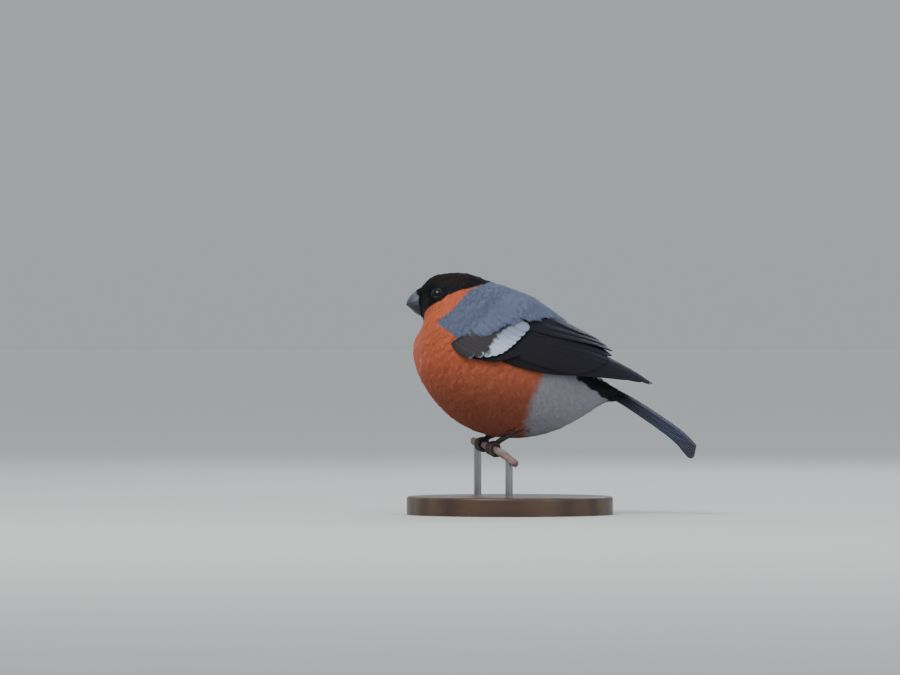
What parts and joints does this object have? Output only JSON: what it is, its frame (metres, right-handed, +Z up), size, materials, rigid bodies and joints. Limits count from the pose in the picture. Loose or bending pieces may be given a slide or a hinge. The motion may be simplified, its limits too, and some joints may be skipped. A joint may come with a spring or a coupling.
{
  "type": "bullfinch model on a stand",
  "caption": "Life-size still model of a cock bullfinch, fluffed up and gripping a short cut stem over a round display base.",
  "frame": {"origin": "middle of the flat underside of the round base", "axes": "+Z up; the bill points towards -X and the bird's left side towards -Y"},
  "size_m": [0.1271, 0.09, 0.1056],
  "materials": {
    "cap_feathers": "glossy blue-black cap feathers",
    "body_feathers": "soft matt feathers, orange-red below and blue-grey above",
    "flight_feathers": "black vanes with a blue-purple gloss",
    "bill_horn": "dark grey horn, satin",
    "eye_glass": "black-brown, wet gloss",
    "leg_scales": "dark brown horny scales",
    "stem_bark": "dull pinkish brown bark",
    "stand_metal": "brushed",
    "stand_wood": "dark, oiled"
  },
  "bodies": {
    "root": {"head": "cap_feathers", "bill_upper": "bill_horn", "bill_lower": "bill_horn", "eye_left": "eye_glass", "eye_right": "eye_glass", "neck": "body_feathers", "torso": "body_feathers", "wing_left": "flight_feathers", "wing_right": "flight_feathers", "tail": "flight_feathers", "leg_left": "leg_scales", "leg_right": "leg_scales", "foot_left": "leg_scales", "foot_right": "leg_scales", "perch": "stem_bark", "stand_rod_near": "stand_metal", "stand_rod_far": "stand_metal", "stand_base": "stand_wood"}
  },
  "joints": []
}
